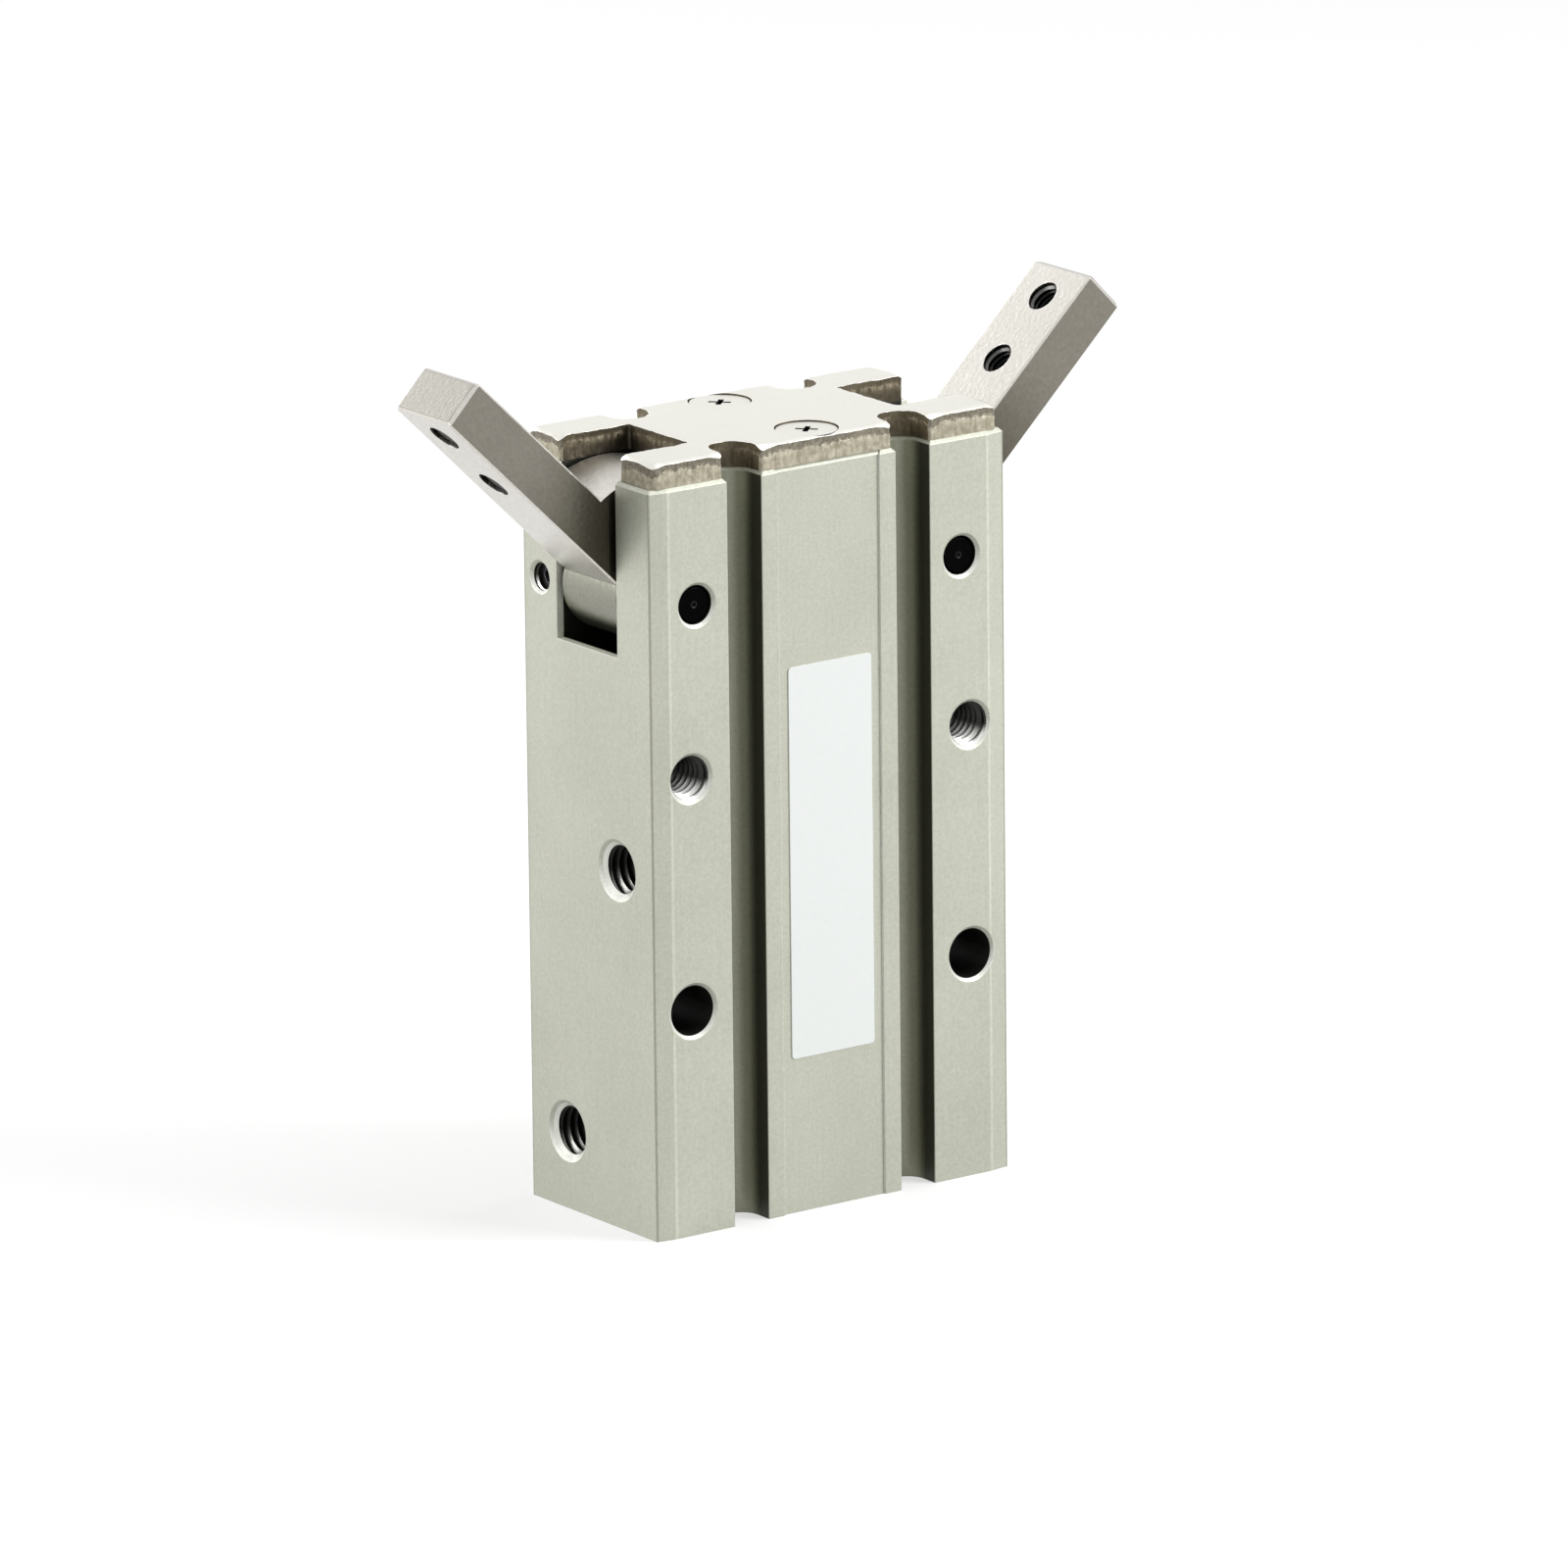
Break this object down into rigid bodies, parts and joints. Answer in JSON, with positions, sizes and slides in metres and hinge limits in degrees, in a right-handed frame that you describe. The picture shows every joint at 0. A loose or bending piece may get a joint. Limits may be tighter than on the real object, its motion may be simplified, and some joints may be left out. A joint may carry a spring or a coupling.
{
  "type": "wide-opening angular gripper",
  "caption": "Slim pneumatic angular gripper: a grooved rectangular body whose cam-driven fingers swing from closed to fully flat.",
  "frame": {"origin": "middle of the base face", "axes": "+Z along the bore, from the base to the fingers; X is the opening direction; -Y faces out of the labelled front"},
  "size_m": [0.0714, 0.0192, 0.0775],
  "materials": {
    "anodised_body": "matte fine-grained hard anodise, pale champagne grey",
    "plated_plate": "nickel-plated blanked steel, rolled top edges, rough sheared edge",
    "plated_screw": "nickel-plated",
    "finger_steel": "bead-blasted, nickel-plated",
    "black_pin": "black oxide, ground",
    "label_film": "satin white film",
    "screw_steel": "black oxide",
    "ground_steel": "ground and polished",
    "crosshead_steel": "hardened and ground",
    "turned_aluminium": "turned, clear anodise",
    "magnet": "bonded magnet, dark",
    "seal_rubber": "moulded nitrile rubber",
    "spring_steel": "phosphated spring steel"
  },
  "bodies": {
    "gripper_body": {"body": "anodised_body", "top_plate": "plated_plate", "top_plate_screws": "plated_screw", "label": "label_film", "left_pivot_pin": "black_pin", "right_pivot_pin": "black_pin", "pivot_set_screws": "screw_steel", "rod_cover": "turned_aluminium", "rod_cover_o_ring": "seal_rubber", "rod_seal": "seal_rubber", "rod_cover_ring": "spring_steel", "end_cap": "turned_aluminium", "end_cap_o_ring": "seal_rubber", "end_cap_ring": "spring_steel"},
    "left_lever": {"left_finger": "finger_steel"},
    "right_lever": {"right_finger": "finger_steel"},
    "piston_assembly": {"crosshead": "crosshead_steel", "left_cam_pin": "ground_steel", "right_cam_pin": "ground_steel", "piston_rod": "ground_steel", "piston_lower": "turned_aluminium", "piston_upper": "turned_aluminium", "piston_magnet": "magnet", "piston_seal": "seal_rubber", "lower_bumper": "seal_rubber", "upper_bumper": "seal_rubber", "rod_bolt": "screw_steel"}
  },
  "joints": [
    {"name": "left_finger_swing", "type": "hinge", "parent": "gripper_body", "child": "left_lever", "pos_m": [-0.0142, 0, 0.0563], "axis": [0, -1, 0], "range_deg": [-47.5, 44]},
    {"name": "right_finger_swing", "type": "hinge", "parent": "gripper_body", "child": "right_lever", "pos_m": [0.0142, 0, 0.0563], "axis": [0, 1, 0], "range_deg": [-47.5, 44]},
    {"name": "piston_stroke", "type": "slide", "parent": "gripper_body", "child": "piston_assembly", "axis": [0, 0, 1], "range_m": [-0.00456, 0.00422]}
  ],
  "couplings": [
    {"joint": "right_finger_swing", "follows": "left_finger_swing", "ratio": 1},
    {"joint": "piston_stroke", "follows": "left_finger_swing", "m_per_rad": 0.0055}
  ]
}
